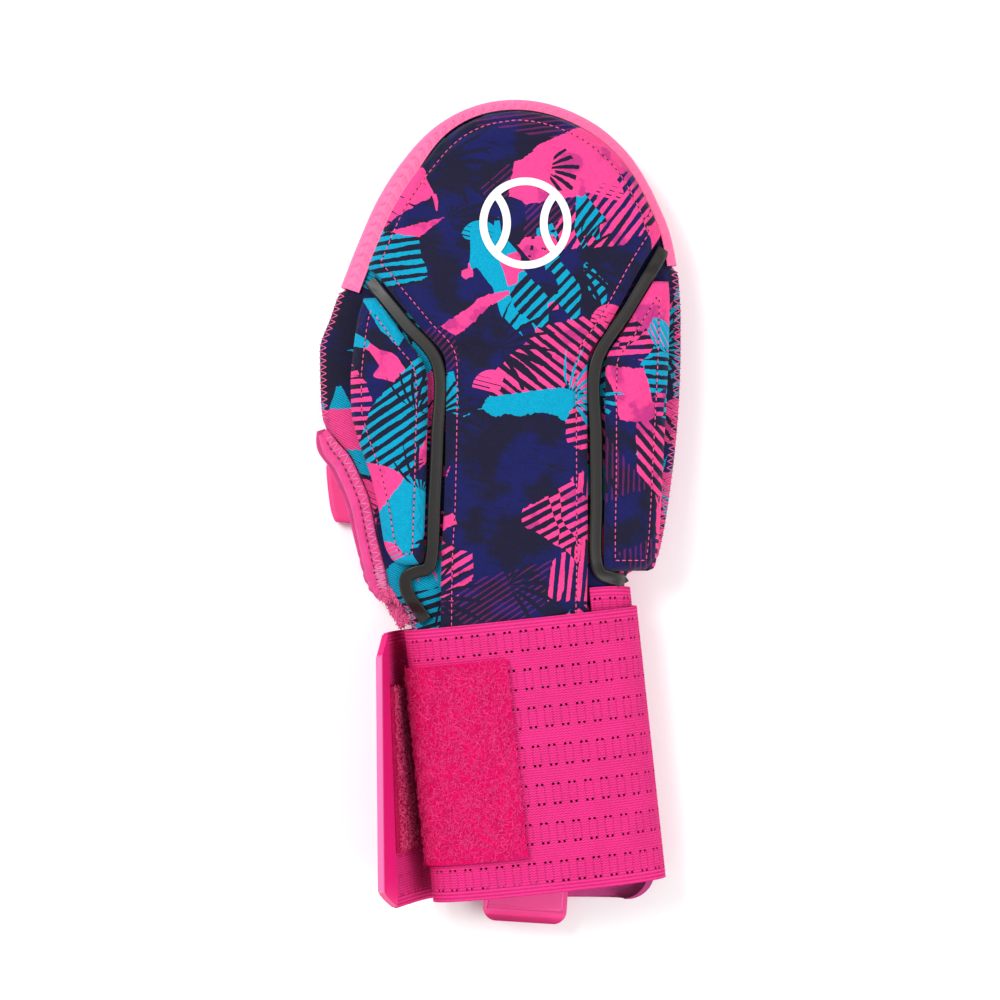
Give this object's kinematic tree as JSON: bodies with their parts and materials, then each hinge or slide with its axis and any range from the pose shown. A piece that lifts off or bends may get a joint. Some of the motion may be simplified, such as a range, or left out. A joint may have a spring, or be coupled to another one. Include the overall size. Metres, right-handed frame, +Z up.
{
  "type": "sliding mitt",
  "caption": "Padded hand guard for baseball or softball: a flat mitt with a moulded fingertip rim, padded back panels, an open thumb side and a wide elastic wrist strap.",
  "frame": {"origin": "on the ground under the middle of the mitt's bounding box", "axes": "+Y from the wrist towards the fingertips, +X from the thumb side towards the little finger side, +Z up from the palm through the back of the hand"},
  "size_m": [0.1368, 0.3094, 0.0423],
  "materials": {
    "back_shell": "printed knit fabric",
    "palm_shell": "smooth woven fabric",
    "rim": "satin moulded rubber with a shallow tread",
    "centre_pad": "printed padded fabric",
    "thumb_pad": "printed padded fabric",
    "outer_pad": "printed padded fabric",
    "trim": "satin moulded rubber",
    "binding": "stretch tape",
    "palm_guard": "satin moulded rubber",
    "emblem": "satin transfer film",
    "strap": "perforated elastic webbing",
    "loop_patch": "soft looped pile",
    "hook_patch": "fine hooks on woven tape",
    "strap_tab": "satin moulded rubber",
    "pull_tab": "satin moulded rubber"
  },
  "bodies": {
    "root": {"back_shell": "back_shell", "palm_shell": "palm_shell", "rim": "rim", "centre_pad": "centre_pad", "thumb_pad": "thumb_pad", "outer_pad": "outer_pad", "thumb_trim": "trim", "outer_trim": "trim", "thumb_binding_back": "binding", "thumb_binding_palm": "binding", "palm_guard": "palm_guard", "emblem": "emblem", "strap": "strap", "loop_patch": "loop_patch", "hook_patch": "hook_patch", "strap_tab": "strap_tab", "pull_tab": "pull_tab"}
  },
  "joints": []
}
